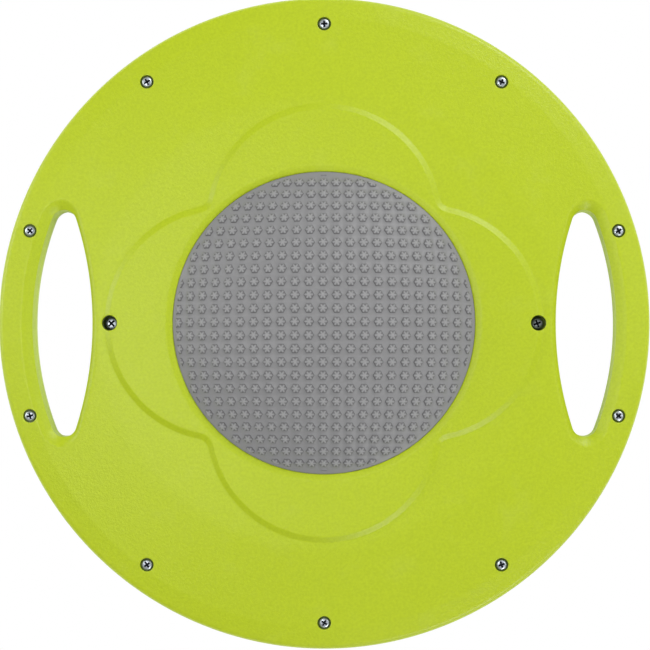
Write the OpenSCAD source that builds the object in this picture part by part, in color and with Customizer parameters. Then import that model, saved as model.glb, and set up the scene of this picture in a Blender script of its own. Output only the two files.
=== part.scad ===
// Round balance board, lying on its standing face with the rocker dome upward.
// Origin at the centre of the standing face, +X through the two hand slots, +Z out of the dome.

/* [Board] */
// Diameter of the board at the joint between its two moulded halves
board_d = 400; // [396:1:410]
// Height of the deck half, from the standing face to the joint
deck_h = 14; // [13:0.5:16]
// Wall thickness of both moulded halves
wall = 3; // [2.6:0.1:3.4]

/* [Underside] */
// Height of the outer edge of the underside, above the joint
edge_h = 11; // [10:0.5:13]
// Rise of the rim band, from the outer edge to the start of the cone
band_rise = 1.7; // [1:0.1:2.5]
// Rise of the cone, from the rim band to the level ground round the lobes
cone_rise = 5; // [4:0.5:6]
// Radius at which the rim band meets the cone
band_r = 186; // [184:1:188]
// Radius at which the cone meets the level ground
cone_r = 138; // [134:1:139]
// Distance of each lobe's centre from the middle of the board
lobe_at = 61.7; // [60:0.1:63]
// Radius of each lobe, halfway up its sloping edge
lobe_r = 70; // [68:0.5:71]

/* [Rocker dome] */
// Radius of the visible dome where it leaves the underside
dome_edge_r = 91.8; // [90:0.1:92]
// Radius of the ball that the dome is a cap of
dome_ball_r = 184.5; // [175:0.5:195]
// Thickness of the rubber dome
dome_skin = 4; // [3:0.5:4.5]

/* [Hand slots] */
// Radius of the slot's outer edge, measured from the middle of the board
slot_outer_r = 178.5; // [177:0.5:179]
// Distance from the middle of the board to the slot's inner edge
slot_inner_x = 141.5; // [141:0.5:144]
// Radius of the slot's inner edge, which bulges towards the dome
slot_bulge_r = 200; // [190:1:210]
// Radius of the slot's two ends
slot_end_r = 7.5; // [6:0.5:8]

/* [Screws] */
// Radius of the ring of six rim screws
rim_screw_r = 182.9; // [182:0.1:184]
// Angle between neighbouring rim screws
rim_screw_pitch = 36.3; // [35:0.1:37]
// Radius of the four screws in the handles
handle_screw_r = 188.5; // [188:0.1:189]
// Angle of the handle screws, away from the line through the slots
handle_screw_a = 17.45; // [17:0.05:18]
// Distance of the two inner screws from the middle of the board
inner_screw_x = 130.3; // [130:0.1:131]
// Radius of the ring of screws that holds the dome's core
core_screw_r = 60; // [55:1:65]

/* [Hidden] */
$fn = 120;

lime = [0.72, 0.80, 0.20];
grey = [0.55, 0.55, 0.55];
zinc = [0.75, 0.76, 0.78];

board_r = board_d / 2;
over = 1;                    // how far a cutter runs past the face that it cuts
sunk = 1;                    // inner walls and ribs end this far inside the outer skin

// Deck half
edge_round = 4;              // rounding of both outer edges
mat_r = 134;                 // radius of the grip mat on the standing face
mat_t = 2.6;                 // thickness of the mat, and depth of the recess that it lies in
skin_z = mat_t + wall;       // inner face of the deck
rib_t = 2.2;
rib_top = deck_h - 2;        // the ribs stop short of the joint
rib_count = 16;
rib_start = 96;              // inner end of the deck's ribs, clear of the core
ring_ribs = [112, 126];      // radii of the deck's two round ribs
boss_r = 6;                  // every screw boss and tower
bore_spare = 0.8;            // the bores in the bosses run this far past the screws' tips

// Underside
side_draft = 0.6;            // how far the side leans in over its height
edge_z = deck_h + edge_h;
edge_in = edge_round + side_draft;
band_z = edge_z + band_rise;
cone_z = band_z + cone_rise;
fall = 0.7;                  // the ground still rises this much from the cone to the opening
ground_z = cone_z + fall;
pad_rise = 2;                // the lobes stand this far above the ground at the opening
pad_z = ground_z + pad_rise;
pad_foot_z = cone_z - 0.3;   // the lobes' sloping edge starts just under the ground
pad_half = 2;                // half the width of that edge, seen from above
pad_slope = 2 * pad_half / pad_rise;
notch_r = 14;                // rounding of the notch between two lobes
notch_bite = 0.6;            // the notches' fills overlap the lobes, so that they join
lip_gap = 0.4;               // room between the opening and the dome
open_r = dome_edge_r + lip_gap;
lip_t = 4.6;                 // width of the rolled lip round the opening
tongue_t = 1.6;              // locating ring inside the deck's side
tongue_h = 3;
tongue_fit = 0.2;
tongue_r = board_r - wall - tongue_fit;
shell_rib_z = edge_z - 7;    // lower edge of the ribs under the cone

// Rocker dome and its core
flange_r = open_r + lip_t + 2.5;
flange_t = 3;
shell_rib_r = flange_r + 5;  // the ribs under the cone start clear of the flange
lip_ring_t = lip_t + 2;      // wall that stands under the lip and presses on the flange
lip_z = pad_z - 6.8;         // lower end of the lip, which presses on the dome's flange
dome_top = pad_z + 0.15 + dome_ball_r - sqrt(pow(dome_ball_r, 2) - pow(dome_edge_r, 2));
ball_z = dome_top - dome_ball_r;
seat_z = lip_z - flange_t;   // top of the core's own flange
core_ball_r = dome_ball_r - dome_skin;
core_r = 89;
core_wall = 3;
web_t = 2.6;
web_count = 6;
hub_r = 9;
hub_depth = 40;              // the hub is hollow from below to this depth

// Screws: pan head self-tappers
shank_r = 1.75;
bore_r = shank_r + 0.02;     // the bore that the thread grips
pass_r = 2.2;                // clearance hole
head_r = 3.3;
head_h = 2.2;
sink_r = 4.1;                // counterbore of the rim and handle screws
shank_l = 16;
tip_l = 2;
tip_r = 0.5;
arm_w = 0.95;                // width and depth of the cross recess
arm_depth = 1.3;
sink_depth = 2.8;            // from the ground down to the screws' seats
inner_sink_depth = 10.5;
inner_head_r = 3.9;
inner_sink_r = 4.65;
inner_shank_l = 13.5;
core_shank_l = 9.5;
boss_top_core = 11;
core_seat_z = boss_top_core + 3;

rim_spots = [for (side = [90, 270], k = [-1, 0, 1])
    rim_screw_r * [cos(side + k * rim_screw_pitch), sin(side + k * rim_screw_pitch)]];
handle_spots = [for (side = [0, 180], k = [-1, 1])
    handle_screw_r * [cos(side + k * handle_screw_a), sin(side + k * handle_screw_a)]];
inner_spots = [[inner_screw_x, 0], [-inner_screw_x, 0]];
core_spots = [for (k = [0 : 5]) core_screw_r * [cos(30 + 60 * k), sin(30 + 60 * k)]];

function arc(c, r, a0, a1, n) = [for (i = [0 : n]) let (a = a0 + (a1 - a0) * i / n)
    [c[0] + r * cos(a), c[1] + r * sin(a)]];

// Height of the underside's outer face at a radius, without the lobes
function ground(r) = r > band_r ? band_z - (r - band_r) * band_rise / (board_r - edge_in - band_r)
    : r > cone_r ? cone_z - (r - cone_r) * cone_rise / (band_r - cone_r)
    : cone_z + (cone_r - r) * fall / (cone_r - open_r);

rim_seat = ground(rim_screw_r) - sink_depth;
handle_seat = ground(handle_screw_r) - sink_depth;
inner_seat = ground(inner_screw_x) - inner_sink_depth;

// The slot's outline: a lens of two arcs with round ends. grow moves it outward all round.
module slot_outline(grow = 0) {
    far = slot_inner_x + slot_bulge_r;
    ra = slot_outer_r - slot_end_r;
    rb = slot_bulge_r - slot_end_r;
    ex = (far * far + ra * ra - rb * rb) / (2 * far);
    ey = sqrt(ra * ra - ex * ex);
    outer_a = atan2(ey, ex);
    inner_a = 180 - atan2(ey, far - ex);
    polygon(concat(
        arc([0, 0], slot_outer_r + grow, -outer_a, outer_a, 20),
        arc([ex, ey], slot_end_r + grow, outer_a + 12, inner_a - 12, 8),
        arc([far, 0], slot_bulge_r + grow, inner_a, 360 - inner_a, 20),
        arc([ex, -ey], slot_end_r + grow, 360 - inner_a + 12, 360 - outer_a - 12, 8)));
}

module both_slots(grow, z0, z1) {
    for (side = [0, 1]) mirror([side, 0, 0])
        translate([0, 0, z0]) linear_extrude(z1 - z0) slot_outline(grow);
}

module posts(spots, r, z0, z1) {
    for (p = spots) translate([p[0], p[1], z0]) cylinder(r = r, h = z1 - z0);
}

// Thin upright plates from the radius r0 outward, spread evenly round the board
module spokes(count, r0, r1, z0, z1, t, turn) {
    for (k = [0 : count - 1]) rotate(turn + k * 360 / count)
        translate([r0, -t / 2, z0]) cube([r1 - r0, t, z1 - z0]);
}

module ring(r0, r1, z0, z1) {
    translate([0, 0, z0]) difference() {
        cylinder(r = r1, h = z1 - z0);
        translate([0, 0, -over]) cylinder(r = r0, h = z1 - z0 + 2 * over);
    }
}

// The four raised lobes. shrink draws them in all round for the hollow under them.
module lobes(z0, z1, shrink) {
    top_r = lobe_r - pad_half - shrink;
    for (k = [0 : 3]) rotate(90 * k) translate([lobe_at, 0, z0])
        cylinder(r1 = top_r + (z1 - z0) * pad_slope, r2 = top_r, h = z1 - z0);
}

// Fills the sharp notches between the lobes to round ones
module notch_fills(z0, z1) {
    reach = lobe_r + notch_r - notch_bite;
    at = (lobe_at + sqrt(2 * reach * reach - lobe_at * lobe_at)) / 2;
    in_lobe = [lobe_at, 0] + (lobe_r - 2 * pad_half) * [at - lobe_at, at] / reach;
    top_r = notch_r + pad_half;
    for (k = [0 : 3]) rotate(90 * k) difference() {
        translate([0, 0, z0]) linear_extrude(z1 - z0)
            polygon([[lobe_at, lobe_at], in_lobe, [at, at], [in_lobe[1], in_lobe[0]]]);
        translate([at, at, z0 - over]) cylinder(r = top_r - (z1 - z0) * pad_slope, h = over);
        translate([at, at, z0])
            cylinder(r1 = top_r - (z1 - z0) * pad_slope, r2 = top_r, h = z1 - z0);
        translate([at, at, z1]) cylinder(r = top_r, h = over);
    }
}

// Standing platform: a ribbed tray with a boss for every screw
module deck() {
    color(lime) difference() {
        union() {
            difference() {
                rotate_extrude() polygon(concat([[0, 0]],
                    arc([board_r - edge_round, edge_round], edge_round, 270, 360, 6),
                    [[board_r, deck_h], [0, deck_h]]));
                translate([0, 0, skin_z]) cylinder(r = board_r - wall, h = deck_h);
            }
            both_slots(wall, skin_z - over, deck_h);
            posts(concat(rim_spots, handle_spots, inner_spots), boss_r, skin_z - over, deck_h);
            posts(core_spots, boss_r, skin_z - over, boss_top_core);
            for (r = ring_ribs) ring(r - rib_t / 2, r + rib_t / 2, skin_z - over, rib_top);
            spokes(rib_count, rib_start, board_r - wall / 2, skin_z - over, rib_top, rib_t, 180 / rib_count);
        }
        both_slots(0, -over, deck_h + over);
        translate([0, 0, -over]) cylinder(r = mat_r, h = mat_t + over);
        posts(rim_spots, bore_r, rim_seat - shank_l - bore_spare, deck_h + over);
        posts(handle_spots, bore_r, handle_seat - shank_l - bore_spare, deck_h + over);
        posts(inner_spots, bore_r, inner_seat - inner_shank_l - bore_spare, deck_h + over);
        posts(core_spots, bore_r, core_seat_z - core_shank_l - bore_spare, boss_top_core + over);
    }
}

// Grip mat glued into the recess in the standing face
module deck_mat() {
    color(grey) cylinder(r = mat_r - 0.3, h = mat_t);
}

// Underside half: a shallow cone with four raised lobes and a rolled lip round the dome
module bottom_shell() {
    top = pad_z + over;
    color(lime) difference() {
        union() {
            difference() {
                union() {
                    rotate_extrude() polygon(concat([[0, deck_h], [board_r, deck_h]],
                        arc([board_r - edge_in, edge_z - edge_round], edge_round, 0, 80, 6),
                        [[band_r, band_z], [cone_r, cone_z], [open_r, ground_z], [0, ground_z]]));
                    lobes(pad_foot_z, pad_z, 0);
                    notch_fills(pad_foot_z, pad_z);
                }
                rotate_extrude() polygon([[0, deck_h - over], [board_r - wall, deck_h - over],
                    [board_r - wall - side_draft, edge_z - edge_round],
                    [board_r - edge_in - sunk, edge_z - wall], [band_r, band_z - wall],
                    [cone_r, cone_z - wall], [open_r, ground_z - wall], [0, ground_z - wall]]);
                lobes(cone_z - wall - over, pad_z - wall, wall);
            }
            ring(tongue_r - tongue_t, tongue_r, deck_h - tongue_h, deck_h + edge_h / 2);
            ring(tongue_r - tongue_t, board_r - wall / 2, deck_h + tongue_h, deck_h + edge_h / 2);
            intersection() {
                union() {
                    both_slots(wall, deck_h, top);
                    posts(concat(rim_spots, handle_spots, inner_spots), boss_r, deck_h, top);
                    spokes(rib_count, shell_rib_r, board_r - wall / 2, shell_rib_z, top, rib_t,
                        180 / rib_count);
                }
                rotate_extrude() polygon([[0, deck_h], [board_r - sunk, deck_h],
                    [board_r - side_draft - sunk, edge_z - edge_round], [board_r - edge_in, edge_z - sunk],
                    [band_r, band_z - sunk], [cone_r, cone_z - sunk], [0, cone_z - sunk]]);
            }
            ring(open_r, open_r + lip_ring_t, lip_z, pad_z - wall / 2);
        }
        both_slots(0, deck_h - tongue_h - over, top);
        translate([0, 0, deck_h - over]) cylinder(r = open_r, h = top);
        rotate_extrude() polygon(concat([[open_r - over, pad_z + over], [open_r - over, pad_z - lip_t]],
            arc([open_r + lip_t, pad_z - lip_t], lip_t, 180, 90, 8), [[open_r + lip_t, pad_z + over]]));
        posts(concat(rim_spots, handle_spots, inner_spots), pass_r, deck_h - over, top);
        posts(rim_spots, sink_r, rim_seat, top);
        posts(handle_spots, sink_r, handle_seat, top);
        posts(inner_spots, inner_sink_r, inner_seat, top);
    }
}

// Rubber rocker dome with the flange that the lip holds down
module rocker_dome() {
    color(grey) difference() {
        union() {
            intersection() {
                translate([0, 0, ball_z]) sphere(r = dome_ball_r);
                translate([0, 0, seat_z]) cylinder(r = dome_edge_r, h = dome_top);
            }
            ring(core_r, flange_r, seat_z, lip_z);
        }
        intersection() {
            translate([0, 0, ball_z]) sphere(r = core_ball_r);
            translate([0, 0, seat_z - over]) cylinder(r = core_r, h = dome_top);
        }
    }
}

// A solid of revolution that stands on the height z0: a straight side, then a cap of the ball.
// inset draws it in all round from the core's own outer face.
module core_form(inset, z0) {
    r = core_r - inset;
    ball = core_ball_r - inset;
    rotate_extrude() polygon(concat([[0, z0], [r, z0]], arc([0, ball_z], ball, acos(r / ball), 90, 14)));
}

// Rigid core: a ribbed cap that carries the rider's weight from the dome to the deck
module dome_core() {
    color("white") difference() {
        union() {
            difference() {
                core_form(0, skin_z);
                core_form(core_wall, skin_z - over);
            }
            ring(core_r - core_wall / 2, flange_r, seat_z - core_wall, seat_z);
            intersection() {
                union() {
                    spokes(web_count, hub_r / 2, board_r, skin_z, dome_top, web_t, 0);
                    translate([0, 0, skin_z]) cylinder(r = hub_r, h = dome_top);
                    posts(core_spots, boss_r, boss_top_core, dome_top);
                }
                core_form(core_wall / 2, skin_z);
            }
        }
        posts(core_spots, pass_r, skin_z, core_seat_z + over);
        posts(core_spots, inner_sink_r, core_seat_z, dome_top);
        translate([0, 0, skin_z - over]) cylinder(r = hub_r - core_wall, h = hub_depth);
    }
}

// Pan head self-tapping screw with a cross recess, standing on its seat. dome rounds its head.
module screw(spot, seat, r, shank, turn) {
    dome = 0.9;
    arm_l = 1.15 * r;
    color(zinc) translate([spot[0], spot[1], seat]) rotate(turn) difference() {
        union() {
            rotate_extrude() polygon(concat([[0, 0], [r, 0]],
                arc([r - dome, head_h - dome], dome, 0, 90, 5), [[0, head_h]]));
            translate([0, 0, tip_l - shank]) cylinder(r = shank_r, h = shank - tip_l + over);
            translate([0, 0, -shank]) cylinder(r1 = tip_r, r2 = shank_r, h = tip_l);
        }
        for (q = [0, 90]) rotate(q) translate([-arm_w / 2, -arm_l / 2, head_h - arm_depth])
            cube([arm_w, arm_l, arm_depth + over]);
    }
}

deck();
deck_mat();
bottom_shell();
rocker_dome();
dome_core();
for (k = [0 : 5]) screw(rim_spots[k], rim_seat, head_r, shank_l, 47 * k + 20);
for (k = [0 : 3]) screw(handle_spots[k], handle_seat, head_r, shank_l, 31 * k + 5);
for (k = [0, 1]) screw(inner_spots[k], inner_seat, inner_head_r, inner_shank_l, 25 * k + 10);
for (k = [0 : 5]) screw(core_spots[k], core_seat_z, inner_head_r, core_shank_l, 40 * k);
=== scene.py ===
import math

import bmesh
import bpy
import numpy as np
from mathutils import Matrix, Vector
from mathutils.geometry import delaunay_2d_cdt
from mathutils.kdtree import KDTree


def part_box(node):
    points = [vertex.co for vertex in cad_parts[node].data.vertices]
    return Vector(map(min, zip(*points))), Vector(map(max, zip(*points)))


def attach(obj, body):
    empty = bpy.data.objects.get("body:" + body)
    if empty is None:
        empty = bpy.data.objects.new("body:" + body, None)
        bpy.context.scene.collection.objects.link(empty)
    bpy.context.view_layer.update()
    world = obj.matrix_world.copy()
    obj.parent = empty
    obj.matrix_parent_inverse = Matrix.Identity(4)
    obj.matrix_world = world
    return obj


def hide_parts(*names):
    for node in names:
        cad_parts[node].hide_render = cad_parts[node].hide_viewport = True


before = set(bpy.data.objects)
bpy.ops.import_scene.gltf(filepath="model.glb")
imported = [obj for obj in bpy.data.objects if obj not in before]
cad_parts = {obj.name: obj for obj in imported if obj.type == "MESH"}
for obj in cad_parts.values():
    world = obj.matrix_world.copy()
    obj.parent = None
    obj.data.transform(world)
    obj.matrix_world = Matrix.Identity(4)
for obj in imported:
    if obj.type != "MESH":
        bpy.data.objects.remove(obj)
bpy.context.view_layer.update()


# ---------------------------------------------------------------------------------------------
# Deck: the half that is stood on, lying face down as stored. It is moulded in lime plastic, with
# a recess for the grip mat, rolled edges round the hand slots, a boss for every screw, and ribs.

class Skin:
    """The skin of one piece: points laid out on flat ground, then raised, and the faces between."""

    def __init__(self, bend=lambda flat, height: np.column_stack([flat, height])):
        self.flat, self.points, self.faces = [], [], []
        self.bend = bend

    def row(self, flat, height, lift=0.0):
        """Adds points over places on the ground, and gives their numbers. The height is a number,
        a list or a function of the place, and lift is added to it."""
        start = len(self.points)
        flat = np.asarray(flat, float)
        level = height(*flat.T) if callable(height) else height
        raised = self.bend(flat, np.broadcast_to(level + lift, len(flat)))
        self.flat += [tuple(p) for p in flat]
        self.points += [tuple(p) for p in raised]
        return list(range(start, len(self.points)))

    def join(self, *rows):
        """Bands of faces between closed rows with the same number of points, one after another."""
        for first, second in zip(rows, rows[1:]):
            n = len(first)
            self.faces += [(first[i], first[(i + 1) % n], second[(i + 1) % n], second[i])
                           for i in range(n)]

    def cap(self, row, height):
        """Closes a round row with one point in its middle."""
        tip = self.row([np.mean([self.flat[i] for i in row], axis=0)], height)[0]
        self.faces += [(row[i], row[(i + 1) % len(row)], tip) for i in range(len(row))]

    def scatter(self, ground, loose, inside):
        """Adds the sets of loose points to the ground, where inside lets them lie. Each set keeps
        its own gap from what is already there."""
        for places, gap in loose:
            near = KDTree(len(ground))
            for k, place in enumerate(ground):
                near.insert((*place, 0), k)
            near.balance()
            allowed = places[inside(*places.T)] if inside else places
            ground += [tuple(p) for p in allowed if near.find((*p, 0))[2] > gap]

    def fill(self, rows, loose, height, inside=None, lift=0.0):
        """Covers the ground inside the first closed row and outside the others, by way of sets of
        loose points. inside says where those may lie. height and lift are as in row."""
        numbers = [i for row in rows for i in row]
        ground = [self.flat[i] for i in numbers]
        edges, owner = [], []
        for k, row in enumerate(rows):
            edges += [(len(owner) + i, len(owner) + (i + 1) % len(row)) for i in range(len(row))]
            owner += [k] * len(row)
        self.scatter(ground, loose, inside)
        _, _, corners, sources, _, _ = delaunay_2d_cdt([Vector(p) for p in ground], edges, [], 0, 1e-7)
        source = np.array([min(s) for s in sources])

        # A face with all its corners on one row is inside that row if it turns the row's way
        corners = np.sort(source[np.array([tuple(c) for c in corners])], axis=1)
        owner = np.array(owner + [-1] * (len(ground) - len(numbers)))
        on = owner[corners]
        place = np.array(ground)

        def turn(p, q, r):
            return np.sign((q[..., 0] - p[..., 0]) * (r[..., 1] - p[..., 1])
                           - (q[..., 1] - p[..., 1]) * (r[..., 0] - p[..., 0]))

        ways = []
        for k in range(len(rows)):
            line = place[:len(numbers)][owner[:len(numbers)] == k]
            after = np.roll(line, -1, axis=0)
            ways.append(np.sign((line[:, 0] * after[:, 1] - line[:, 1] * after[:, 0]).sum()))
        one_row = (on[:, 0] == on[:, 1]) & (on[:, 1] == on[:, 2]) & (on[:, 0] >= 0)
        within = turn(*place[corners].transpose(1, 0, 2)) == np.array(ways)[on[:, 0]]
        corners = corners[~one_row | (within == (on[:, 0] == 0))]
        number = dict(enumerate(numbers))
        fresh = [k for k in np.unique(corners) if k >= len(numbers)]
        number.update(zip(fresh, self.row(place[fresh], height, lift)))
        self.faces += [tuple(number[k] for k in corner) for corner in corners]

    def piece(self, name, material, node, crease=35, dark=()):
        """Makes the Blender object, which stands for a CAD node and rides with the board. dark
        lists the points that the material darkens with painted shade, deep in holes."""
        mesh = bpy.data.meshes.new(name)
        mesh.from_pydata(self.points, [], self.faces)
        shape = bmesh.new()
        shape.from_mesh(mesh)
        bmesh.ops.recalc_face_normals(shape, faces=shape.faces)
        shape.to_mesh(mesh)
        shape.free()
        mesh.shade_smooth()
        mesh.set_sharp_from_angle(angle=math.radians(crease))
        mesh.materials.append(material)
        shade = np.zeros(len(self.points))
        shade[list(dark)] = 1
        mesh.attributes.new("dark", "FLOAT", "POINT").data.foreach_set("value", shade)
        made = bpy.data.objects.new(name, mesh)
        bpy.context.scene.collection.objects.link(made)
        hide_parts(node)
        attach(made, "root")
        return made


def arc(centre, radius, start, stop, count):
    """Points along an arc, in degrees, without the last one."""
    a = np.radians(np.linspace(start, stop, count, endpoint=False))
    return np.column_stack([centre[0] + radius * np.cos(a), centre[1] + radius * np.sin(a)])


def circle(radius, count, centre=(0, 0)):
    return arc(centre, radius, 0, 360, count)


def lattice(spacing, reach):
    """Points in staggered rows, out to a distance from the middle."""
    steps = int(reach / spacing) + 1
    across, along = np.meshgrid(np.arange(-steps, steps + 1), np.arange(-steps * 2, steps * 2 + 1))
    points = np.column_stack([((across + 0.5 * (along % 2)) * spacing).ravel(),
                              (along * spacing * math.sqrt(0.75)).ravel()])
    return points[np.hypot(*points.T) < reach]


board_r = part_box("deck")[1].x
joint_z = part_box("deck")[1].z
wall = 0.003
joint_break = 0.0004         # both halves are broken along the joint, which leaves a fine groove

# The hand slot is a lens of two arcs with round ends, here at the joint
slot_outer_r = 0.1781
slot_inner_x = 0.1416
slot_bulge_r = 0.2
slot_end_r = 0.0075
slot_far = slot_inner_x + slot_bulge_r
end_outer_r, end_bulge_r = slot_outer_r - slot_end_r, slot_bulge_r - slot_end_r
end_x = (slot_far ** 2 + end_outer_r ** 2 - end_bulge_r ** 2) / (2 * slot_far)
end_y = math.sqrt(end_outer_r ** 2 - end_x ** 2)
outer_turn = math.degrees(math.atan2(end_y, end_x))
bulge_turn = 180 - math.degrees(math.atan2(end_y, slot_far - end_x))


def slot_edge(grow, side):
    """The outline of the slot on one side of the board, grown outward all round."""
    line = np.vstack([
        arc((0, 0), slot_outer_r + grow, -outer_turn, outer_turn, 90),
        arc((end_x, end_y), slot_end_r + grow, outer_turn, bulge_turn, 28),
        arc((slot_far, 0), slot_bulge_r + grow, bulge_turn, 360 - bulge_turn, 90),
        arc((end_x, -end_y), slot_end_r + grow, 360 - bulge_turn, 360 - outer_turn, 28)])
    return line * (side, 1)


def slot_gap(x, y):
    """Distance from the nearer slot's outline, and negative in the slot."""
    x, y = np.abs(x), np.abs(y)
    along, up = x - end_x, y - end_y
    turn = np.degrees(np.arctan2(up, along)) % 360
    at_end = (turn > outer_turn) & (turn < bulge_turn)
    sides = np.maximum(np.hypot(x, y) - slot_outer_r, np.hypot(x - slot_far, y) - slot_bulge_r)
    return np.where(at_end, np.hypot(along, up) - slot_end_r, sides)


def middle(node):
    low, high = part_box(node)
    return ((low.x + high.x) / 2, (low.y + high.y) / 2)


screw_names = ([f"rim_screw_{k}" for k in range(1, 7)] + [f"handle_screw_{k}" for k in range(1, 5)]
               + ["inner_screw_right", "inner_screw_left"])
core_screw_names = [f"core_screw_{k}" for k in range(1, 7)]
screw_spots = [middle(name) for name in screw_names]
core_spots = [middle(name) for name in core_screw_names]


def spot_gap(x, y, spots):
    """Distance from the nearest of the spots."""
    return np.min([np.hypot(x - px, y - py) for px, py in spots], axis=0)


rib_t, rib_count = 0.0022, 16
rib_clear = wall - 0.0005    # the ribs come this near to the slots, and end in their walls


def ribs(skin, start, low, high):
    """Upright plates from a radius outward, broken by the slots. low and high give the heights
    of their edges at a radius."""
    for k in range(rib_count):
        turn = math.radians(360 / rib_count * (k + 0.5))
        ahead = np.array([math.cos(turn), math.sin(turn)])
        aside = np.array([-ahead[1], ahead[0]]) * rib_t / 2
        run = np.arange(start, board_r - wall, 0.001)
        in_slot = slot_gap(*np.outer(ahead, run)) < rib_clear
        for stretch in np.split(run, np.flatnonzero(np.diff(in_slot.astype(int))) + 1):
            if len(stretch) < 4 or slot_gap(*(ahead * stretch.mean())) < rib_clear:
                continue
            rings = [skin.row([ahead * r - aside, ahead * r + aside] * 2,
                              np.array([low(r), low(r), high(r), high(r)]))
                     for r in stretch[[*range(0, len(stretch) - 1, 6), -1]]]
            rings = [[a, b, d, c] for a, b, c, d in rings]
            skin.join(*rings)
            skin.faces += [tuple(rings[0]), tuple(rings[-1])]


mat_r, mat_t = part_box("deck_mat")[1].x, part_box("deck_mat")[1].z
mat_fit = 0.0003
skin_z = mat_t + wall
boss_r = 0.006
bore_r = 0.00177
core_boss_z = 0.011
edge_round = 0.004
roll_r = 0.003               # rounding of the slots' edges in the standing face
slot_lean = 0.0014           # the slots' walls lean back by this much from the joint to the face
rib_top = joint_z - 0.002
rib_root = skin_z - 0.0005   # the ribs reach this far into the skin
rib_start = 0.096            # inner end of the deck's ribs, clear of the core
ring_ribs = 0.112, 0.126     # radii of the deck's two round ribs
small_break = 0.0004         # breaks the edges of the mat and of its recess
bore_break = 0.0003          # breaks the edges of the bores
bore_z = skin_z - 0.001      # foot of the bores in the bosses

deck = Skin()

# Standing face, from the recess out to the joint
recess = [deck.row(circle(mat_r + mat_fit, 360), z) for z in (mat_t, small_break)]
recess.append(deck.row(circle(mat_r + mat_fit + small_break, 360), 0))
deck.join(*recess)
side = [deck.row(circle(board_r - edge_round, 720), 0)]
for a in np.radians([12, 24, 36, 48, 60, 72, 84]):
    side.append(deck.row(circle(board_r - edge_round * (1 - math.sin(a)), 720),
                         edge_round * (1 - math.cos(a))))
for r, z in ((board_r, edge_round + 0.001), (board_r, joint_z - joint_break),
             (board_r - joint_break, joint_z), (board_r - wall, joint_z), (board_r - wall, skin_z)):
    side.append(deck.row(circle(r, 720), z))
deck.join(*side)
slot_mouths, slot_floors = [], []
for s in (1, -1):
    rows = []
    for a in np.radians([0, 15, 30, 45, 60, 75, 90]):
        z = roll_r * (1 - math.cos(a))
        lean = slot_lean * (1 - z / joint_z)
        rows.append(deck.row(slot_edge(lean + roll_r * (1 - math.sin(a)), s), z))
    for grow, z in ((0, joint_z - joint_break), (joint_break, joint_z), (wall, joint_z),
                    (wall, skin_z)):
        rows.append(deck.row(slot_edge(grow, s), z))
    deck.join(*rows)
    slot_mouths.append(rows[0])
    slot_floors.append(rows[-1])
deck.fill([side[0], recess[-1], *slot_mouths], [(lattice(0.004, board_r - edge_round), 0.0022)], 0,
          lambda x, y: (np.hypot(x, y) > mat_r + 0.002) & (slot_gap(x, y) > roll_r + 0.002))

# Floor of the recess, and the ribbed inside with its bosses
deck.fill([recess[0]], [(lattice(0.012, mat_r), 0.005)], mat_t, lambda x, y: np.hypot(x, y) < mat_r)
boss_rows = []
for spots, top in ((screw_spots, joint_z), (core_spots, core_boss_z)):
    for spot in spots:
        rows = [deck.row(circle(r, 40, spot), z) for r, z in (
            (boss_r, skin_z), (boss_r, top), (bore_r + bore_break, top), (bore_r, top - bore_break),
            (bore_r, bore_z))]
        deck.join(*rows)
        deck.cap(rows[-1], bore_z)
        boss_rows.append(rows[0])
deck.fill([side[-1], *slot_floors, *boss_rows], [(lattice(0.004, board_r - wall), 0.0018)], skin_z,
          lambda x, y: (slot_gap(x, y) > wall + 0.001)
          & (spot_gap(x, y, screw_spots + core_spots) > boss_r + 0.001))
for r in ring_ribs:
    ring = [deck.row(circle(r + out, 240), z) for out, z in (
        (-rib_t / 2, rib_root), (-rib_t / 2, rib_top), (rib_t / 2, rib_top), (rib_t / 2, rib_root))]
    deck.join(*ring, ring[0])
ribs(deck, rib_start, lambda r: rib_root, lambda r: rib_top)


class Value:
    """A socket of a material, so that sums on it read as sums and add the nodes they need."""

    tree = None

    def __init__(self, socket):
        self.socket = socket

    @classmethod
    def node(cls, kind, inputs, out=0, **settings):
        """Adds a node: its settings first, then the values or links of its sockets."""
        node = cls.tree.nodes.new("ShaderNode" + kind)
        for name, value in settings.items():
            if name == "stops":
                for stop, (place, grey) in zip(node.color_ramp.elements, value):
                    stop.position, stop.color = place, (grey, grey, grey, 1)
            else:
                setattr(node, name, value)
        for key, value in inputs.items():
            if isinstance(value, Value):
                cls.tree.links.new(value.socket, node.inputs[key])
            else:
                node.inputs[key].default_value = value
        return cls(node.outputs[out])

    def sum(self, operation, first, second):
        return self.node("Math", {0: first, 1: second}, operation=operation)

    def __add__(self, other):
        return self.sum("ADD", self, other)

    def __sub__(self, other):
        return self.sum("SUBTRACT", self, other)

    def __rsub__(self, other):
        return self.sum("SUBTRACT", other, self)

    def __mul__(self, other):
        return self.sum("MULTIPLY", self, other)

    __radd__, __rmul__ = __add__, __mul__


def between(mask, first, second):
    """A colour that goes from first to second as the mask goes from 0 to 1."""
    return Value.node("Mix", {0: mask, 6: first, 7: second}, out=2, data_type="RGBA")


def steps(mask, low, high):
    """Spreads the part of a mask between low and high over 0 to 1."""
    return Value.node("ValToRGB", {0: mask}, stops=[(low, 0), (high, 1)])


def noise(scale, detail=2.0, roughness=0.5):
    """Soft blotches, scale to the metre."""
    place = Value.node("TexCoord", {}, out=3)
    return Value.node("TexNoise", {"Vector": place, "Scale": scale, "Detail": detail,
                                   "Roughness": roughness})


def raised(height, strength, depth):
    """A bump of the given depth in metres."""
    return Value.node("Bump", {"Strength": strength, "Distance": depth, "Height": height})


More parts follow.
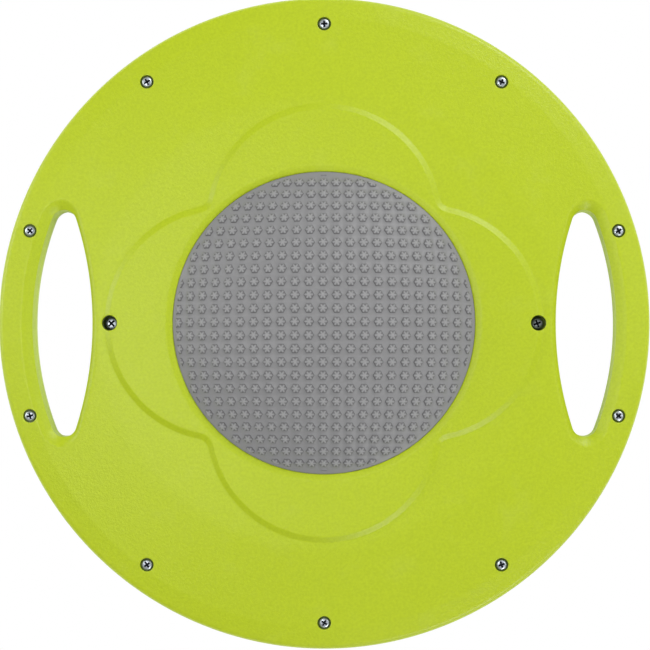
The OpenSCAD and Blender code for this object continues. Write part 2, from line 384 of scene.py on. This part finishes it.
def finish(name, build, fixed):
    """A material. build gives the inputs that vary, and fixed sets the shader's other sockets."""
    material = bpy.data.materials.new(name)
    material.use_nodes = True
    Value.tree = material.node_tree
    shader = material.node_tree.nodes["Principled BSDF"]
    for socket, value in fixed.items():
        shader.inputs[socket].default_value = value
    for socket, value in build().items():
        material.node_tree.links.new(value.socket, shader.inputs[socket])
    return material


def lime_plastic():
    """Satin lime plastic with a fine leather grain, slight clouds where the melt flowed, a
    little dulling where hands and floors have rubbed it, and painted shade darkening the screw holes."""
    cloud = noise(9, 3.0)
    grain = noise(620, 3.0, 0.6)
    fine = noise(2100, 2.0)
    rubbed = steps(noise(38, 5.0, 0.65), 0.56, 0.80)
    colour = between(cloud, (0.485, 0.605, 0.009, 1), (0.515, 0.635, 0.013, 1))
    colour = between(steps(grain, 0.35, 0.65) * 0.5, colour, (0.400, 0.515, 0.006, 1))
    colour = between(rubbed * 0.10, colour, (0.600, 0.690, 0.180, 1))
    # The dark attribute marks the counterbores' walls and seats, and the colour mixed in there is painted
    # shade
    dark = Value.node("Attribute", {}, out=2, attribute_name="dark")
    colour = between(dark * 0.75, colour, (0.060, 0.110, 0.004, 1))
    return {"Base Color": colour, "Roughness": 0.29 + grain * 0.10 + cloud * 0.04 + rubbed * 0.06,
            "Normal": raised(grain * 0.6 + fine * 0.4, 0.7, 0.0004)}


lime = finish("lime_plastic", lime_plastic, {"IOR": 1.48})
deck.piece("deck_moulding", lime, "deck")


# ---------------------------------------------------------------------------------------------
# Grip mat: a sheet of grey rubber glued into the deck's recess. It is moulded with rows of
# low six-sided pimples, whose tips are level with the standing face.

class Pimples:
    """Rows of six-sided pimples. On a ball the rows are parallels, and close up sideways."""

    def __init__(self, pitch_x, pitch_y, radius, rise, ball=None):
        self.pitch_x, self.pitch_y, self.radius, self.rise = pitch_x, pitch_y, radius, rise
        self.ball = ball

    def squeeze(self, y):
        """How much a row closes up sideways. y is a height on the flat ground."""
        return np.cos(y / self.ball) if self.ball else np.ones_like(y)

    def out(self, run, up):
        """How far out a place is in its hexagon, which has corners along X, and how far it is
        from the nearest line to a corner, both as shares."""
        turn = np.arctan2(up, run)
        off = np.abs((turn + math.pi / 6) % (math.pi / 3) - math.pi / 6)
        side = math.cos(math.pi / 6) / np.cos(off - math.pi / 6)
        return np.hypot(run, up) / (self.radius * side), off / (math.pi / 6)

    def height(self, x, y):
        """A steep side, then six shallow hollows with ridges between, and a dimple in the tip."""
        row = np.round(y / self.pitch_y) * self.pitch_y
        run = (x - np.round(x / self.pitch_x) * self.pitch_x) * self.squeeze(row)
        out, off = self.out(run, y - row)
        side = np.clip((1 - out) / 0.17, 0, 1)
        top = np.clip(1 - out / 0.83, 0, 1)
        hollow = 0.28 * off * np.clip(out / 0.45, 0, 1) * np.clip((1 - out) / 0.25, 0, 1)
        dimple = 0.07 * np.clip(1 - out / 0.13, 0, 1)
        share = 0.62 * side * side * (3 - 2 * side) + 0.38 * top ** 0.8 - hollow - dimple
        return self.rise * np.clip(share, 0, 1)

    def places(self, reach, shares, corners):
        """Places that carry the pimples' shape: rings round each, and one point in each gap."""
        turn = np.radians(np.arange(0, 360, 360 / corners))
        out, _ = self.out(np.cos(turn), np.sin(turn))
        plan = np.vstack([[(0, 0)]] + [np.column_stack([np.cos(turn), np.sin(turn)]) * share / out[:, None]
                                       for share in shares])
        count = int(reach / min(self.pitch_x, self.pitch_y)) + 2
        i, j = [k.ravel() for k in np.meshgrid(np.arange(-count, count), np.arange(-count, count))]
        spots = np.column_stack([i * self.pitch_x, j * self.pitch_y])
        narrow = np.column_stack([1 / self.squeeze(spots[:, 1]), np.ones(len(spots))])
        rings = spots[:, None, :] + plan[None, :, :] * narrow[:, None, :]
        return np.vstack([rings.reshape(-1, 2), spots + (self.pitch_x / 2, self.pitch_y / 2)])


def rubber(dark, light):
    """Dull grey rubber with a fine bloom and a faint grain."""
    def build():
        bloom = noise(24, 3.0)
        speck = noise(1500, 2.0, 0.6)
        return {"Base Color": between(bloom * 0.6 + speck * 0.4, dark, light),
                "Roughness": 0.46 + bloom * 0.10 + speck * 0.06, "Normal": raised(speck, 0.3, 0.00008)}
    return build


mat = Skin()
mat_rise = 0.0008
mat_reach = mat_r - 0.004
cut_gap = 0.0001             # the pattern is cut off by a wall of this width, seen from above
mat_pimples = Pimples(0.0084, 0.0081, 0.0031, mat_rise)


def mat_face(x, y):
    """Height of the mat's lower face, whose pimples hang down."""
    return mat_rise - mat_pimples.height(x, y)


mat_cut = mat.row(circle(mat_reach, 720), mat_face)
mat_rows = [mat.row(circle(r, 720), z) for r, z in (
    (mat_reach + cut_gap, mat_rise), (mat_r - small_break, mat_rise), (mat_r, mat_rise + small_break),
    (mat_r, mat_t))]
mat.join(mat_cut, *mat_rows)
mat.cap(mat_rows[-1], mat_t)
places = mat_pimples.places(mat_reach, (1.0, 0.9, 0.8, 0.5, 0.15), 18)
mat.fill([mat_cut], [(places, 0.0002)], mat_face, lambda x, y: np.hypot(x, y) < mat_reach - cut_gap)
mat_grey = finish("mat_rubber", rubber((0.20, 0.20, 0.205, 1), (0.25, 0.25, 0.255, 1)), {"IOR": 1.5})
mat.piece("grip_mat", mat_grey, "deck_mat", crease=70)


# ---------------------------------------------------------------------------------------------
# Core: a stiff ribbed cap under the dome, moulded in plain white plastic and screwed to the
# deck. It is hidden inside, and keeps the shape of its CAD node.

def core_plastic():
    """Unpainted natural plastic, faintly clouded, with a fine moulded grain."""
    cloud, grain = noise(14, 3.0), noise(900, 2.0)
    return {"Base Color": between(cloud, (0.76, 0.75, 0.70, 1), (0.82, 0.81, 0.77, 1)),
            "Roughness": 0.42 + grain * 0.15, "Normal": raised(grain, 0.3, 0.0001)}


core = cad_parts["dome_core"]
core.data.materials.clear()
core.data.materials.append(finish("core_plastic", core_plastic, {"IOR": 1.5}))


# ---------------------------------------------------------------------------------------------
# Rocker dome: a thick grey rubber cap over the core. The lip of the underside holds it down by
# the flange round its foot, and its pimples stop at a smooth band along the edge.

pimple_rise = 0.0013
dome_ball_r = 0.1845
dome_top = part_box("rocker_dome")[1].z
dome_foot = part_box("rocker_dome")[0].z
flange_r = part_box("rocker_dome")[1].x
flange_t = 0.003
ball_z = dome_top - dome_ball_r
base_r = dome_ball_r - pimple_rise
dome_edge_r = 0.0918
edge_soft = 0.0005
dome_reach = 0.0895          # the pattern stops here
dome_skin = 0.004
inner_r, inner_ball_r = 0.089, dome_ball_r - dome_skin
ground_reach = 0.096         # how far the pattern goes on the flat ground, which is wider than the dome


def on_ball(flat, height):
    """Wraps flat ground over the dome: across is a longitude, and up a latitude."""
    across, up = (flat / base_r).T
    out = base_r + height
    return np.column_stack([out * np.cos(up) * np.sin(across), out * np.sin(up),
                            ball_z + out * np.cos(up) * np.cos(across)])


def off_ball(plan):
    """The place on the flat ground of a point seen from above."""
    x, y = plan.T / base_r
    return np.column_stack([np.arctan2(x, np.sqrt(1 - x * x - y * y)), np.arcsin(y)]) * base_r


def dome_plan(x, y):
    """Distance from the dome's axis, of a place on the flat ground."""
    return np.hypot(*on_ball(np.column_stack([x, y]), 0)[:, :2].T)


dome = Skin(on_ball)
dome_pimples = Pimples(0.00835, 0.00801, 0.0033, pimple_rise, base_r)
band = [dome.row(off_ball(circle(dome_reach, 720)), dome_pimples.height)]
for r in np.linspace(dome_reach + cut_gap, dome_edge_r - edge_soft, 5):
    band.append(dome.row(off_ball(circle(r, 720)), 0))
dome.join(*band)
places = dome_pimples.places(ground_reach, (1.0, 0.94, 0.88, 0.82, 0.72, 0.48, 0.24, 0.10), 24)
dome.fill([band[0]], [(places, 0.00015)], dome_pimples.height,
          lambda x, y: dome_plan(x, y) < dome_reach - cut_gap)
dome.bend = Skin().bend
edge_z = ball_z + math.sqrt(base_r ** 2 - (dome_edge_r - edge_soft) ** 2)
foot = [band[-1]]
for a in np.radians([20, 40, 60, 80]):
    foot.append(dome.row(circle(dome_edge_r - edge_soft * (1 - math.sin(a)), 720),
                         edge_z - 0.6 * edge_soft * math.sin(a) - edge_soft * (1 - math.cos(a))))
for r, z in ((dome_edge_r, dome_foot + flange_t), (flange_r, dome_foot + flange_t),
             (flange_r, dome_foot), (inner_r, dome_foot)):
    foot.append(dome.row(circle(r, 720), z))
for r in np.linspace(inner_r, 0.003, 24):
    foot.append(dome.row(circle(r, 720), ball_z + math.sqrt(inner_ball_r ** 2 - r ** 2)))
dome.join(*foot)
dome.cap(foot[-1], ball_z + inner_ball_r)


def dome_rubber():
    """Grey rubber, with painted shade darkening the pimples' sides, and a painted highlight making their tips
    paler; the tips are also smoother.
    """
    place = Value.node("TexCoord", {}, out=3)
    out = Value.node("VectorMath", {0: place, 1: (0, 0, ball_z)}, out=1, operation="DISTANCE")
    height = (out - base_r) * (1 / pimple_rise)
    tip = steps(height, 0.55, 1.0)
    side = steps(height, 0.02, 0.20) - steps(height, 0.40, 0.65)
    bloom, speck = noise(24, 3.0), noise(1500, 2.0, 0.6)
    colour = between(bloom * 0.6 + speck * 0.4, (0.240, 0.240, 0.243, 1), (0.280, 0.280, 0.284, 1))
    # Painted shade on the pimples' steep sides
    colour = between(side * 0.8, colour, (0.08, 0.08, 0.082, 1))
    # Painted highlight on the pimples' tips
    colour = between(tip * 0.55, colour, (0.42, 0.42, 0.42, 1))
    return {"Base Color": colour, "Roughness": 0.42 + bloom * 0.08 + speck * 0.06 - tip * 0.10,
            "Normal": raised(speck, 0.3, 0.00008)}


dome_grey = finish("dome_rubber", dome_rubber, {"IOR": 1.5})
dome.piece("rocker_dome_rubber", dome_grey, "rocker_dome", crease=80)


# ---------------------------------------------------------------------------------------------
# Underside: the other lime half, a shallow cone with a rim band, four raised lobes and a bevelled
# lip that holds the dome. It is screwed to the deck through twelve towers.

open_r = dome_edge_r + 0.00005
lip_r = 0.0040               # width and drop of the bevel round the opening
lip_drop = 0.0011
lip_ring_r = 0.0988          # outside of the ring under the lip
lip_z = dome_foot + flange_t
ground_z = 0.0324            # the ground at the opening
ground_fall = 0.0153         # slope of the level ground
cone_r, cone_fall, cone_soft = 0.138, 0.104, 0.004       # where the cone starts, its slope, and the
band_r, band_fall, band_soft = 0.186, 0.181, 0.0008      # softness of its corner; the rim band's too
pad_rise = 0.002
pad_run, pad_soft = 0.0035, 0.0004   # the lobes' sloping edge and the rounding of its corners
lobe_at, lobe_r, notch_r = 0.0617, 0.070, 0.009
brow_z = 0.021               # where the rounded outer edge starts
side_lean = 0.0006


def bend(run, soft):
    """Rises one for one from zero on, round the corner within the distance soft of it."""
    return np.where(run > soft, run, np.where(run < -soft, 0, (run + soft) ** 2 / (4 * soft)))


def ground(x, y):
    """Height of the underside without its lobes: level ground, then the cone, then the rim band."""
    r = np.hypot(x, y)
    return (ground_z - ground_fall * (r - open_r) - (cone_fall - ground_fall) * bend(r - cone_r, cone_soft)
            - (band_fall - cone_fall) * bend(r - band_r, band_soft))


notch_at = (lobe_at + math.sqrt(2 * (lobe_r + notch_r) ** 2 - lobe_at ** 2)) / 2
lobe_turn = math.degrees(math.atan2(notch_at, notch_at - lobe_at))


def lobes_gap(x, y):
    """Distance outside the four lobes' outline, negative inside it."""
    x, y = np.abs(x), np.abs(y)
    x, y = np.maximum(x, y), np.minimum(x, y)
    in_notch = np.degrees(np.arctan2(y, x - lobe_at)) > lobe_turn
    return np.where(in_notch, notch_r - np.hypot(x - notch_at, y - notch_at),
                    np.hypot(x - lobe_at, y) - lobe_r)


def spun(line, angle):
    """A line turned about the middle, by an angle in radians."""
    return line @ np.array([[math.cos(angle), math.sin(angle)], [-math.sin(angle), math.cos(angle)]])


def all_round(quarter):
    """A closed outline from its first quarter."""
    return np.vstack([spun(quarter, angle) for angle in np.radians([0, 90, 180, 270])])


def lobes_edge(grow):
    """The lobes' outline, grown outward."""
    quarter = np.vstack([arc((lobe_at, 0), lobe_r + grow, -lobe_turn, lobe_turn, 150),
                         arc((notch_at, notch_at), notch_r - grow, 180 + lobe_turn, 270 - lobe_turn, 14)])
    return all_round(quarter)


def lobes(x, y):
    """Height of the lobes over the ground."""
    gap, half = lobes_gap(x, y), pad_run / 2
    return pad_rise * (1 - (bend(gap + half, pad_soft) - bend(gap - half, pad_soft)) / pad_run)


crease = 0.0005              # the slots' walls end in a crease this far outside the joint's outline
roll_inner, roll_outer = 0.0038, 0.0064      # width of the roll above it, inside and at the handle
roll_slope = 1.17            # slope of the inner roll at the crease, twice its drop over its width
ridge_slope, ridge_soft = 0.34, 0.0005       # the outer roll starts with this slope, at a soft ridge
handle_x, handle_run = 0.148, 0.012          # the outer roll comes in over this stretch


def underside(x, y):
    """Height of the whole outer face, which rolls down towards the hand slots."""
    outer = np.clip((np.abs(x) - handle_x) / handle_run, 0, 1)
    width = roll_inner + (roll_outer - roll_inner) * outer
    start = ridge_slope * outer
    run = width - (slot_gap(x, y) - crease)
    return (ground(x, y) + lobes(x, y) - start * bend(run, ridge_soft)
            - (roll_slope - 2 * start) * np.clip(run, 0, width) ** 2 / (2 * width))


def unrolled(x, y):
    """Height of the outer face without the roll."""
    return ground(x, y) + lobes(x, y)


shell = Skin()
pass_r, sink_r, deep_sink_r, sink_break = 0.0022, 0.0041, 0.00465, 0.0004
head_h = 0.0022
top_holes, ceiling_holes, painted_shade_points = [], [], []
for name, spot in zip(screw_names, screw_spots):
    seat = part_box(name)[1].z - head_h
    r = deep_sink_r if name.startswith("inner") else sink_r
    rows = []
    for out, drop in ((r + 0.0008, 0), (r + sink_break, 0), (r + sink_break * 0.6, 0.00008),
                      (r + sink_break * 0.2, 0.0003), (r, 0.0006)):
        rows.append(shell.row(circle(out, 48, spot), underside, -drop))
    rows += [shell.row(circle(out, 48, spot), z) for out, z in (
        (r, seat), (pass_r, seat), (pass_r, joint_z), (boss_r, joint_z))]
    rows.append(shell.row(circle(boss_r, 48, spot), unrolled, -wall))
    shell.join(*rows)
    top_holes.append(rows[0])
    ceiling_holes.append(rows[-1])
    # Counterbore walls and seats, which the lime material darkens with painted shade
    painted_shade_points += [*rows[4], *rows[5], *rows[6]]
top_slots, ceiling_slots = [], []
roll_room = 0.0015           # the inside is this much lower at the slots, to leave room for the roll
for s in (1, -1):
    rows = []
    for grow in (0.0031, 0.0024, 0.0018, 0.0012, 0.0007, 0.0003, 0.0001, 0):
        rows.append(shell.row(slot_edge(crease + grow, s), underside))
    line = slot_edge(crease, s)
    brow = underside(*line.T)
    for share in (0.03, 0.35, 0.7):
        rows.append(shell.row(slot_edge(crease * (1 - share), s), brow * (1 - share) + joint_z * share))
    rows += [shell.row(slot_edge(0, s), joint_z + joint_break), shell.row(slot_edge(joint_break, s), joint_z),
             shell.row(slot_edge(wall, s), joint_z),
             shell.row(slot_edge(wall, s), unrolled, -wall - roll_room)]
    shell.join(*rows)
    top_slots.append(rows[0])
    ceiling_slots.append(rows[-1])

# Bevelled lip round the opening, and the ring under it that holds the dome's flange
lip = [shell.row(circle(open_r + lip_r + out, 720), unrolled) for out in (0.0012, 0.0005)]
pad_z = float(unrolled(open_r + lip_r, 0))
for share in (0.1, 0.35, 0.65, 0.88):
    lip.append(shell.row(circle(open_r + lip_r * (1 - share), 720), pad_z - lip_drop * share ** 1.1))
lip += [shell.row(circle(r, 720), z) for r, z in (
    (open_r, pad_z - lip_drop * 1.15), (open_r, lip_z), (lip_ring_r, lip_z))]
lip.append(shell.row(circle(lip_ring_r, 720), unrolled, -wall))
shell.join(*lip)

# Outer edge, and the locating tongue inside it
brow_r = board_r - edge_round - side_lean
tongue_fit = 0.0002
tongue_r, tongue_t, tongue_h = board_r - wall - tongue_fit, 0.0016, 0.003
open_ground_r, near_edge_r, ceiling_r = 0.1942, 0.1948, 0.1950    # rows at the ends of the ground
rim = [shell.row(circle(r, 720), ground) for r in (open_ground_r, near_edge_r, brow_r)]
brow_fall = float(ground(brow_r, 0)) - brow_z
for a in np.radians([16, 28, 40, 52, 64, 76, 88]):
    rim.append(shell.row(circle(brow_r + edge_round * math.sin(a), 720), brow_z + brow_fall * math.cos(a)))
for r, z in ((board_r - side_lean * 0.8, brow_z - 0.001), (board_r, joint_z + joint_break),
             (board_r - joint_break, joint_z), (tongue_r, joint_z), (tongue_r, joint_z - tongue_h),
             (tongue_r - tongue_t, joint_z - tongue_h), (tongue_r - tongue_t, brow_z - 0.001)):
    rim.append(shell.row(circle(r, 720), z))
rim.append(shell.row(circle(ceiling_r, 720), ground, -wall))
shell.join(*rim)

# The open ground between them: close rows of points where it curves, a plain lattice elsewhere
loose = [
    (np.vstack([slot_edge(crease + grow, s) for s in (1, -1) for grow in (0.0038, 0.0045)]), 0.0005),
    (np.vstack([slot_edge(crease + grow, s) for s in (1, -1) for grow in np.arange(0.0051, 0.0078, 0.0003)]),
     0.00027),
    (np.vstack([circle(r, 40, spot) for spot in screw_spots for r in (0.0056, 0.0064, 0.0073)]), 0.0006),
    (np.vstack([lobes_edge(grow) for grow in np.arange(-0.0030, 0.00301, 0.0004)]), 0.0005),
    (np.vstack([circle(band_r + out, 800) for out in (-0.0016, -0.0010, -0.0005, 0, 0.0005, 0.0010, 0.0016)]),
     0.0006),
    (np.vstack([circle(r, 500) for r in np.arange(cone_r - 0.006, cone_r + 0.0061, 0.0015)]), 0.0012),
    (lattice(0.0026, board_r), 0.0017)]
shell.fill([rim[0], lip[0], *top_slots, *top_holes], loose, underside,
           lambda x, y: (np.hypot(x, y) > open_r + lip_r + 0.0018) & (np.hypot(x, y) < 0.1936)
           & (slot_gap(x, y) > crease + 0.0034) & (spot_gap(x, y, screw_spots) > 0.0055))
shell.fill([rim[-1], lip[-1], *ceiling_slots, *ceiling_holes], [(lattice(0.004, 0.192), 0.0015)], unrolled,
           lambda x, y: (np.hypot(x, y) > lip_ring_r + 0.001) & (slot_gap(x, y) > wall + 0.001)
           & (spot_gap(x, y, screw_spots) > boss_r + 0.001), -wall)
shell_rib_start, shell_rib_z = 0.1043, 0.018         # inner ends and lower edges of the ribs
shell_rib_sink = 0.0004      # the ribs reach this far into the skin
ribs(shell, shell_rib_start, lambda r: shell_rib_z, lambda r: float(ground(r, 0)) - wall + shell_rib_sink)
shell.piece("underside_moulding", lime, "bottom_shell", dark=painted_shade_points)


# ---------------------------------------------------------------------------------------------
# Screws: zinc-plated self-tappers with a low domed head and a cross recess, each stopped at its
# own angle when it was driven.

def zinc():
    """Bright zinc plating, faintly mottled, with scuffs from the driver, and painted shade darkening the
    cross recess.
    """
    mottle, scuff = noise(700, 3.0), noise(2600, 2.0)
    dark = Value.node("Attribute", {}, out=2, attribute_name="dark")
    colour = between(mottle, (0.50, 0.55, 0.62, 1), (0.70, 0.75, 0.82, 1))
    # The dark attribute marks the cross recess, which this colour darkens as painted shade and the roughness
    # makes duller
    return {"Base Color": between(dark, colour, (0.035, 0.04, 0.055, 1)),
            "Roughness": 0.30 + mottle * 0.12 + scuff * 0.08 + dark * 0.3,
            "Normal": raised(scuff, 0.25, 0.00003)}


steel = finish("zinc_steel", zinc, {"Metallic": 1.0})
shank_r, thread_root_r, thread_pitch = 0.00175, 0.0012, 0.0014
crown_foot, crown_rise = 0.42, 0.58  # where the head's dome starts, and its height, as shares
crown_bow = 3.2              # the dome is flat in the middle and falls off at its edge
crest = 3.6                  # how narrow the thread's crest is
arm_half = 0.00058           # half the width of the recess's arms at the top
arm_share = 0.64             # their length, as a share of the head's radius
arm_corner = 1.35            # its inner corners are cut off, by this share of the half width
point_l, point_r = 0.0022, 0.0004    # the thread stops short of the point
turn_step = 0.00018          # the rings that carry the thread are this far apart


def cross(reach, half):
    """The outline of a cross with arms of the given reach and half width."""
    quarter = np.array([(reach, -half), (reach, half), (half * arm_corner, half), (half, half * arm_corner)])
    line = all_round(quarter)
    return np.vstack([np.linspace(p, q, 4, endpoint=False) for p, q in zip(line, np.roll(line, -1, axis=0))])


def screw(node, turn):
    """The screw that stands for a node, with its recess turned by an angle in radians."""
    low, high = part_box(node)
    centre = np.array(middle(node))
    head_r = (high.x - low.x) / 2
    seat = high.z - head_h
    reach = head_r * arm_share
    made = Skin()

    def crown(x, y):
        out = np.hypot(x - centre[0], y - centre[1]) / head_r
        return seat + head_h * (crown_foot + crown_rise * np.sqrt(np.clip(1 - out ** crown_bow, 0, 1)))

    def on_head(x, y):
        at = np.abs(spun(np.column_stack([x, y]) - centre, -turn))
        small, large = at.min(axis=1), at.max(axis=1)
        return ~(((small < arm_half) & (large < reach)) | (small + large < arm_half * (1 + arm_corner)))

    rings = [made.row(circle(head_r * share, 48, centre), crown) for share in (0.78, 0.88, 0.94, 0.98, 0.999)]
    rings += [made.row(circle(r, 48, centre), z) for r, z in (
        (head_r, seat + head_h * 0.36), (head_r, seat + 0.0001), (head_r - 0.0001, seat), (shank_r, seat))]
    recess = []
    for narrow, drop in ((0, 0), (0.08, 0.0001), (0.2, 0.0006), (0.5, 0.0015)):
        line = spun(cross(reach * (1 - narrow * 1.1), arm_half * (1 - narrow * 0.8)), turn) + centre
        recess.append(made.row(line, crown, -drop))
    made.join(*recess)
    deep = np.min([made.points[i][2] for i in recess[-1]])
    made.fill([recess[-1]], [(centre[None, :], 0)], deep - 0.0001)
    # The recess's points, which the material darkens with painted shade
    dark = range(recess[1][0], len(made.points))
    loose = np.vstack([circle(head_r * share, 36, centre) for share in (0.15, 0.3, 0.45, 0.6, 0.7)])
    made.fill([rings[0], recess[0]], [(loose, 0.00012)], crown, on_head)
    made.join(*rings)

    # The thread: rings whose radius follows a crest that winds down the shank
    around = np.arange(48) / 48
    shank = [rings[-1]]
    for down in np.arange(0.0004, seat - low.z - point_l, turn_step):
        phase = (down / thread_pitch - around) % 1
        radius = thread_root_r + (shank_r - thread_root_r) * np.clip(1 - np.abs(phase - 0.5) * crest, 0, 1)
        angle = around * 2 * math.pi
        line = centre + np.column_stack([radius * np.cos(angle), radius * np.sin(angle)])
        shank.append(made.row(line, seat - down))
    shank.append(made.row(circle(point_r, 48, centre), low.z + point_r))
    made.join(*shank)
    made.cap(shank[-1], low.z)
    made.piece(node + "_steel", steel, node, crease=28, dark=dark)


screw_turns = (65, 3, 30, 35, 60, 20, 45, 30, 48, 15, 20, 45)
for name, turn in zip(screw_names, screw_turns):
    screw(name, math.radians(turn))
for k, name in enumerate(core_screw_names):
    screw(name, math.radians(37 * k))


# ---------------------------------------------------------------------------------------------
# Floor, soft light and camera. The camera looks straight down from a little beside the axis, and
# its lens is shifted back so that the board stays in the middle.

scene = bpy.context.scene
scene.view_settings.view_transform = "Standard"
world = bpy.data.worlds.new("studio")
scene.world = world
world.use_nodes = True
world.node_tree.nodes["Background"].inputs["Color"].default_value = (1, 1, 1, 1)
world.node_tree.nodes["Background"].inputs["Strength"].default_value = 0.32


def pale_floor():
    """Matt white board, and pure white where the camera sees it."""
    grain = noise(60, 2.0)
    return {"Base Color": between(grain, (0.86, 0.86, 0.86, 1), (0.88, 0.88, 0.88, 1))}


floor_half, floor_z = 3.0, -0.0002
floor_mesh = bpy.data.meshes.new("floor")
floor_mesh.from_pydata([(x, y, floor_z) for x, y in ((-floor_half, -floor_half), (floor_half, -floor_half),
                                                     (floor_half, floor_half), (-floor_half, floor_half))],
                       [], [(0, 1, 2, 3)])
floor_white = finish("floor_white", pale_floor, {"Roughness": 0.9, "Emission Color": (1, 1, 1, 1),
                                                 "Emission Strength": 0.35})
seen = Value.node("LightPath", {})
glow = Value.node("Emission", {"Color": (1, 1, 1, 1), "Strength": 1.0})
output = floor_white.node_tree.nodes["Material Output"]
matt = Value(floor_white.node_tree.nodes["Principled BSDF"].outputs[0])
white = Value.node("MixShader", {0: seen, 1: matt, 2: glow})
floor_white.node_tree.links.new(white.socket, output.inputs["Surface"])
floor_mesh.materials.append(floor_white)
floor = bpy.data.objects.new("floor", floor_mesh)
scene.collection.objects.link(floor)


def softbox(name, turn, lift, distance, width, height, power):
    """A soft light at a compass turn and a lift above the floor, both in degrees."""
    turn, lift = math.radians(turn), math.radians(lift)
    data = bpy.data.lights.new(name, "AREA")
    data.shape, data.size, data.size_y, data.energy = "RECTANGLE", width, height, power
    light = bpy.data.objects.new(name, data)
    light.location = distance * Vector((math.cos(turn) * math.cos(lift), math.sin(turn) * math.cos(lift),
                                        math.sin(lift)))
    light.rotation_euler = light.location.to_track_quat("Z", "Y").to_euler()
    scene.collection.objects.link(light)


softbox("low_left_box", 168, 22, 1.3, 0.60, 0.45, 5.0)
softbox("top_left_box", 180, 73, 1.2, 0.32, 0.32, 2.6)
softbox("upper_right_box", 57, 31, 1.6, 0.70, 0.30, 11.0)
softbox("lower_right_box", -62, 31, 1.6, 0.55, 0.30, 7.5)
softbox("right_box", 8, 46, 1.6, 0.40, 0.40, 2.2)

camera_data = bpy.data.cameras.new("camera")
camera_data.sensor_width = 36
camera_data.lens = 103.2
camera = bpy.data.objects.new("camera", camera_data)
camera.location = (0.030, -0.040, joint_z + 1.15)
camera_data.shift_x, camera_data.shift_y = -0.0744, 0.0982
scene.collection.objects.link(camera)
scene.camera = camera
